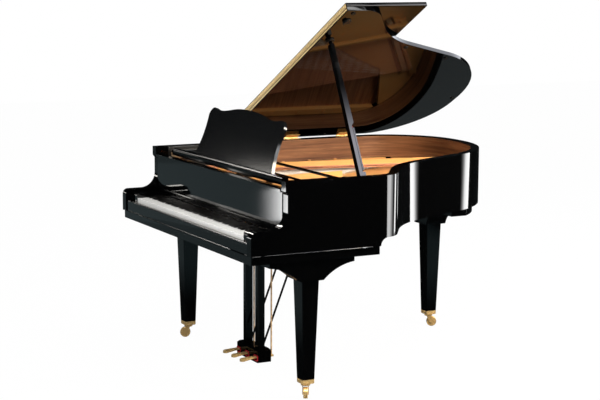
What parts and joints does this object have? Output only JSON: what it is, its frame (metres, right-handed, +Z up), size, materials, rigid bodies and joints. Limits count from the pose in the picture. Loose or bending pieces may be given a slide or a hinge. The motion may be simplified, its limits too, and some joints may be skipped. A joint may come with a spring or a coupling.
{
  "type": "grand piano",
  "caption": "Black grand piano with its lid propped open, flap folded back, music desk raised, working keys and hammers, pedals on a lyre, and square tapered legs on swivel casters.",
  "frame": {"origin": "on the floor under the middle of the piano's whole outline, lid open as in the picture", "axes": "+X towards the treble side, +Y from the keyboard to the tail, +Z up"},
  "size_m": [1.511, 1.736, 1.7413],
  "materials": {
    "black_lacquer": "polished black lacquer",
    "satin_black": "satin black",
    "brown_veneer": "varnished brown veneer",
    "plain_wood": "plain wood",
    "spruce": "varnished spruce",
    "gold_iron": "gold bronze paint",
    "steel": "bright steel wire",
    "copper": "copper winding",
    "brass": "polished brass",
    "key_white": "gloss white key tops",
    "key_black": "black key tops",
    "felt": "wood with pale felt",
    "black_steel": "black paint",
    "rubber": "dark rubber"
  },
  "bodies": {
    "case": {"outer_rim": "black_lacquer", "rim_lining": "brown_veneer", "inner_rim": "plain_wood", "keybed": "black_lacquer", "key_slip": "black_lacquer", "key_blocks": "black_lacquer", "stretcher": "black_lacquer", "case_braces": "plain_wood", "soundboard": "spruce", "soundboard_ribs": "plain_wood", "bridges": "plain_wood", "iron_plate": "gold_iron", "pin_block": "plain_wood", "string_pins": "steel", "treble_strings": "steel", "bass_strings": "copper", "plate_bolts": "gold_iron", "front_left_leg": "black_lacquer", "front_right_leg": "black_lacquer", "rear_leg": "black_lacquer", "leg_blocks": "black_lacquer", "caster_ferrules": "brass", "lyre_posts": "black_lacquer", "pedal_box": "black_lacquer", "lyre_braces": "black_steel", "lid_hinge_case_leaves": "brass", "prop_fittings": "brass", "desk_rails": "plain_wood"},
    "lid": {"lid": "black_lacquer", "lid_hinge_leaves": "brass", "lid_pads": "rubber"},
    "lid_flap": {"lid_flap": "black_lacquer", "flap_hinge_leaf": "brass"},
    "lid_prop_long": {"lid_prop_long": "black_lacquer"},
    "lid_prop_short": {"lid_prop_short": "black_lacquer"},
    "desk_tray": {"desk_tray": "satin_black"},
    "desk_panel": {"desk_panel": "satin_black"},
    "desk_stay": {"desk_stay": "satin_black"},
    "fallboard": {"fallboard": "black_lacquer"},
    "white_keys": {"white_keys": "key_white"},
    "black_keys": {"black_keys": "key_black"},
    "action_frame": {"action_frame": "plain_wood"},
    "white_hammers": {"white_hammers": "felt"},
    "black_hammers": {"black_hammers": "felt"},
    "dampers": {"dampers": "satin_black"},
    "soft_pedal": {"soft_pedal": "brass"},
    "soft_pedal_rod": {"soft_pedal_rod": "plain_wood"},
    "soft_trap_lever": {"soft_trap_lever": "plain_wood"},
    "middle_pedal": {"middle_pedal": "brass"},
    "middle_pedal_rod": {"middle_pedal_rod": "plain_wood"},
    "middle_trap_lever": {"middle_trap_lever": "plain_wood"},
    "sustain_pedal": {"sustain_pedal": "brass"},
    "sustain_pedal_rod": {"sustain_pedal_rod": "plain_wood"},
    "sustain_trap_lever": {"sustain_trap_lever": "plain_wood"},
    "front_left_caster_fork": {"front_left_caster_fork": "brass"},
    "front_left_caster_wheel": {"front_left_caster_wheel": "brass"},
    "front_right_caster_fork": {"front_right_caster_fork": "brass"},
    "front_right_caster_wheel": {"front_right_caster_wheel": "brass"},
    "rear_caster_fork": {"rear_caster_fork": "brass"},
    "rear_caster_wheel": {"rear_caster_wheel": "brass"}
  },
  "joints": [
    {"name": "lid_hinge", "type": "hinge", "parent": "case", "child": "lid", "pos_m": [-0.73853, -0.868, 0.99], "axis": [0, -1, 0], "range_deg": [0, 25]},
    {"name": "flap_hinge", "type": "hinge", "parent": "lid", "child": "lid_flap", "pos_m": [-0.09038, -0.31076, 1.36604], "axis": [0.8796, 0, 0.4756], "range_deg": [0, 165]},
    {"name": "prop_fold", "type": "hinge", "parent": "case", "child": "lid_prop_long", "pos_m": [0.67447, -0.27296, 0.938], "axis": [-0.6882, -0.6197, -0.3774], "range_deg": [0, 69.2]},
    {"name": "short_prop_swing", "type": "hinge", "parent": "lid_prop_long", "child": "lid_prop_short", "pos_m": [0.63258, -0.26872, 1.01072], "axis": [0.0133, 0.9996, -0.0231], "range_deg": [0, 40]},
    {"name": "desk_slide", "type": "slide", "parent": "case", "child": "desk_tray", "axis": [0, 1, 0], "range_m": [-0.04, 0.015]},
    {"name": "desk_fold", "type": "hinge", "parent": "desk_tray", "child": "desk_panel", "pos_m": [0.01047, -0.606, 0.971], "axis": [-1, 0, 0], "range_deg": [0, 70]},
    {"name": "desk_stay_fold", "type": "hinge", "parent": "desk_tray", "child": "desk_stay", "pos_m": [0.01047, -0.506, 0.9585], "axis": [-1, 0, 0], "range_deg": [0, 110]},
    {"name": "fallboard_hinge", "type": "hinge", "parent": "case", "child": "fallboard", "pos_m": [0.01047, -0.69, 0.79], "axis": [1, 0, 0], "range_deg": [0, 88]},
    {"name": "soft_pedal", "type": "hinge", "parent": "case", "child": "soft_pedal", "pos_m": [-0.06353, -0.5, 0.062], "axis": [1, 0, 0], "range_deg": [0, 7], "stiffness_Nm_per_rad": 10, "springref_deg": -5.73},
    {"name": "soft_pedal_rod", "type": "slide", "parent": "case", "child": "soft_pedal_rod", "axis": [0, 0, 1], "range_m": [0, 0.006]},
    {"name": "soft_trap_lever", "type": "hinge", "parent": "case", "child": "soft_trap_lever", "pos_m": [-0.06353, -0.398, 0.592], "axis": [-1, 0, 0], "range_deg": [0, 6.2]},
    {"name": "middle_pedal", "type": "hinge", "parent": "case", "child": "middle_pedal", "pos_m": [0.03047, -0.5, 0.062], "axis": [1, 0, 0], "range_deg": [0, 7], "stiffness_Nm_per_rad": 10, "springref_deg": -5.73},
    {"name": "middle_pedal_rod", "type": "slide", "parent": "case", "child": "middle_pedal_rod", "axis": [0, 0, 1], "range_m": [0, 0.006]},
    {"name": "middle_trap_lever", "type": "hinge", "parent": "case", "child": "middle_trap_lever", "pos_m": [0.03047, -0.398, 0.592], "axis": [-1, 0, 0], "range_deg": [0, 6.2]},
    {"name": "sustain_pedal", "type": "hinge", "parent": "case", "child": "sustain_pedal", "pos_m": [0.12447, -0.5, 0.062], "axis": [1, 0, 0], "range_deg": [0, 7], "stiffness_Nm_per_rad": 10, "springref_deg": -5.73},
    {"name": "sustain_pedal_rod", "type": "slide", "parent": "case", "child": "sustain_pedal_rod", "axis": [0, 0, 1], "range_m": [0, 0.006]},
    {"name": "sustain_trap_lever", "type": "hinge", "parent": "case", "child": "sustain_trap_lever", "pos_m": [0.12447, -0.398, 0.592], "axis": [-1, 0, 0], "range_deg": [0, 6.2]},
    {"name": "front_left_swivel", "type": "hinge", "parent": "case", "child": "front_left_caster_fork", "pos_m": [-0.63953, -0.5525, 0.0657], "axis": [0, 0, 1], "continuous": true},
    {"name": "front_left_wheel", "type": "hinge", "parent": "front_left_caster_fork", "child": "front_left_caster_wheel", "pos_m": [-0.64753, -0.56636, 0.026], "axis": [-0.866, 0.5, 0], "continuous": true},
    {"name": "front_right_swivel", "type": "hinge", "parent": "case", "child": "front_right_caster_fork", "pos_m": [0.66047, -0.5525, 0.0657], "axis": [0, 0, 1], "continuous": true},
    {"name": "front_right_wheel", "type": "hinge", "parent": "front_right_caster_fork", "child": "front_right_caster_wheel", "pos_m": [0.67459, -0.56001, 0.026], "axis": [-0.4695, -0.8829, 0], "continuous": true},
    {"name": "rear_swivel", "type": "hinge", "parent": "case", "child": "rear_caster_fork", "pos_m": [-0.30453, 0.692, 0.0657], "axis": [0, 0, 1], "continuous": true},
    {"name": "rear_wheel", "type": "hinge", "parent": "rear_caster_fork", "child": "rear_caster_wheel", "pos_m": [-0.29714, 0.70619, 0.026], "axis": [0.887, -0.4617, 0], "continuous": true},
    {"name": "action_shift", "type": "slide", "parent": "case", "child": "action_frame", "axis": [1, 0, 0], "range_m": [0, 0.0026]},
    {"name": "damper_lift", "type": "slide", "parent": "case", "child": "dampers", "axis": [0, 0, 1], "range_m": [0, 0.0082]},
    {"name": "white_key_dip", "type": "hinge", "parent": "action_frame", "child": "white_keys", "pos_m": [0.01047, -0.618, 0.724], "axis": [1, 0, 0], "range_deg": [0, 2.5], "stiffness_Nm_per_rad": 30, "springref_deg": -6.88},
    {"name": "black_key_dip", "type": "hinge", "parent": "action_frame", "child": "black_keys", "pos_m": [0.01047, -0.618, 0.724], "axis": [1, 0, 0], "range_deg": [0, 3.2], "stiffness_Nm_per_rad": 20, "springref_deg": -6.88},
    {"name": "white_hammer_blow", "type": "hinge", "parent": "action_frame", "child": "white_hammers", "pos_m": [0.01047, -0.573, 0.816], "axis": [1, 0, 0], "range_deg": [0, 18.4]},
    {"name": "black_hammer_blow", "type": "hinge", "parent": "action_frame", "child": "black_hammers", "pos_m": [0.01047, -0.573, 0.816], "axis": [1, 0, 0], "range_deg": [0, 18.4]}
  ],
  "couplings": [
    {"joint": "desk_stay_fold", "follows": "desk_fold", "ratio": 1.57},
    {"joint": "soft_pedal_rod", "follows": "soft_pedal", "m_per_rad": 0.047},
    {"joint": "soft_trap_lever", "follows": "soft_pedal", "ratio": 0.85},
    {"joint": "middle_pedal_rod", "follows": "middle_pedal", "m_per_rad": 0.047},
    {"joint": "middle_trap_lever", "follows": "middle_pedal", "ratio": 0.85},
    {"joint": "sustain_pedal_rod", "follows": "sustain_pedal", "m_per_rad": 0.047},
    {"joint": "sustain_trap_lever", "follows": "sustain_pedal", "ratio": 0.85},
    {"joint": "action_shift", "follows": "soft_pedal", "m_per_rad": 0.02046},
    {"joint": "damper_lift", "follows": "sustain_pedal", "m_per_rad": 0.06548},
    {"joint": "white_hammer_blow", "follows": "white_key_dip", "ratio": 7.3},
    {"joint": "black_hammer_blow", "follows": "black_key_dip", "ratio": 5.7}
  ]
}
